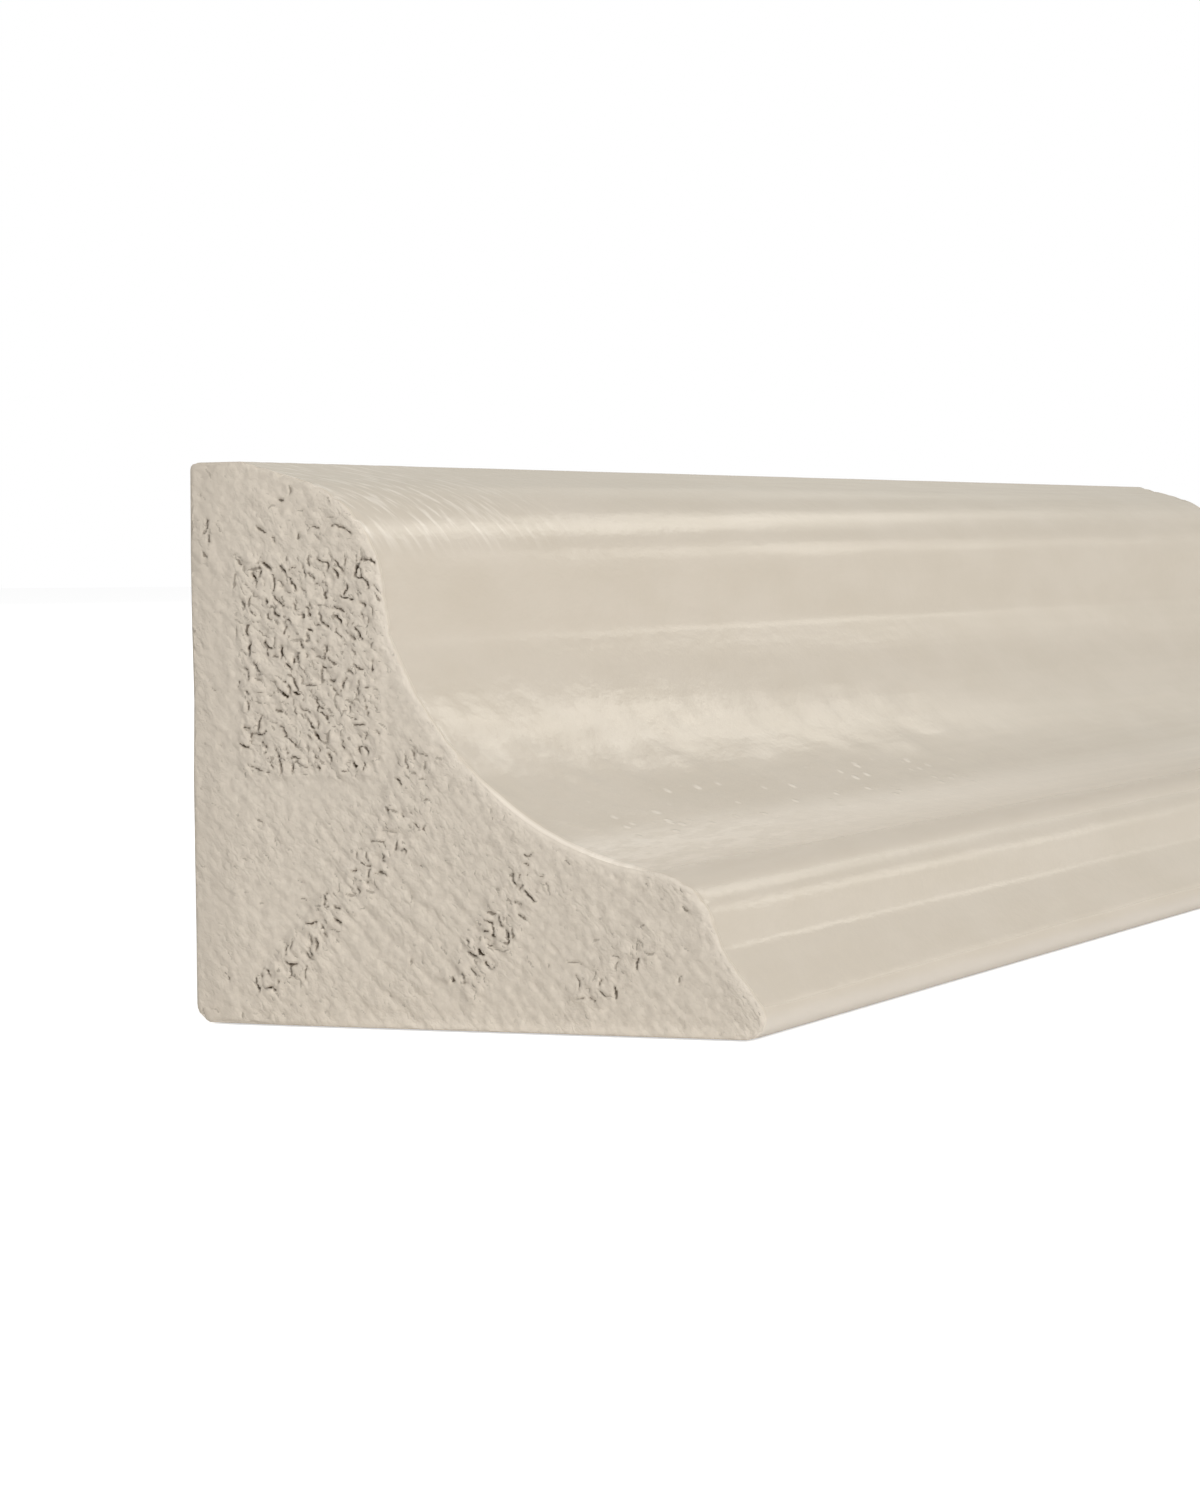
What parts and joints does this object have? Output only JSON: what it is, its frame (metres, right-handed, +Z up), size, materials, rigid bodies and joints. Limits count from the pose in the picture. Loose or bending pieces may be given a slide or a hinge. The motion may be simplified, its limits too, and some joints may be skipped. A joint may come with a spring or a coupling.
{
  "type": "inside corner moulding",
  "caption": "Straight length of foamed plastic inside corner moulding with a coved front between an upper and a lower bead, flat base and back, and square sawn ends.",
  "frame": {"origin": "under the middle of the piece, at the centre of its bounding box and on the plane of the base", "axes": "+X from the back face towards the tip of the lower lip, +Y along the length away from the end that the picture shows, +Z up from the base to the top land"},
  "size_m": [0.019, 0.102, 0.0175],
  "materials": {
    "foamed_plastic": "warm beige, satin extruded skin on the long faces, open-celled sawn ends"
  },
  "bodies": {
    "root": {"moulding": "foamed_plastic"}
  },
  "joints": []
}
